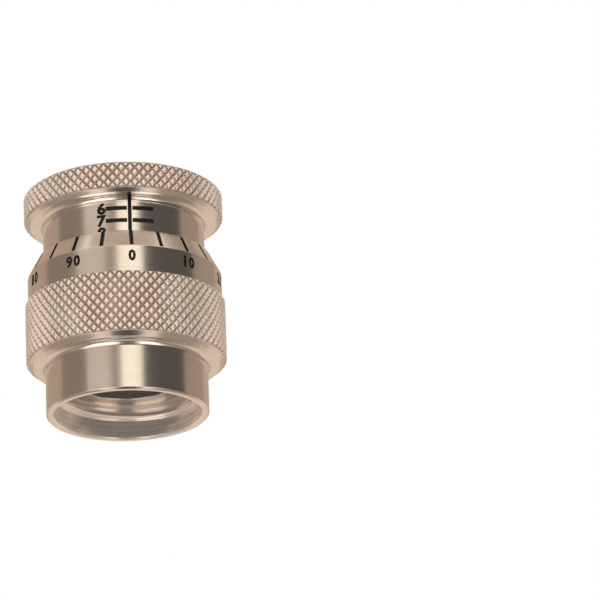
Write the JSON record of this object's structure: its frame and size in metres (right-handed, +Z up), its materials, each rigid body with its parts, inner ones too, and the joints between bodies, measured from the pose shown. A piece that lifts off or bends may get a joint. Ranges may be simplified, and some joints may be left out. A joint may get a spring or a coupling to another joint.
{
  "type": "valve spring height micrometer",
  "caption": "Knurled thimble with a flanged index barrel that screws down inside it; set in place of a valve spring, its height is read at the lip.",
  "frame": {"origin": "centre of the thimble's foot rim, the face that stands on the spring seat", "axes": "+Z up along the common axis of thimble and barrel; the barrel's index line faces -Y"},
  "size_m": [0.0392, 0.0392, 0.0457],
  "materials": {
    "thimble_metal": "fine turned satin, warm grey; engraved marks filled black",
    "barrel_metal": "fine turned satin, warm grey; engraved marks filled black",
    "ring_rubber": "smooth black rubber"
  },
  "bodies": {
    "thimble": {"thimble": "thimble_metal"},
    "drag_ring": {"drag_ring": "ring_rubber"},
    "barrel": {"barrel": "barrel_metal"}
  },
  "joints": [
    {"name": "barrel_lift", "type": "slide", "parent": "thimble", "child": "drag_ring", "axis": [0, 0, 1], "range_m": [-0.00509, 0.00509]},
    {"name": "barrel_turn", "type": "hinge", "parent": "drag_ring", "child": "barrel", "pos_m": [0, 0, 0.0245], "axis": [0, 0, 1], "range_deg": [-720, 720]}
  ],
  "couplings": [
    {"joint": "barrel_lift", "follows": "barrel_turn", "m_per_rad": 0.00040425}
  ]
}
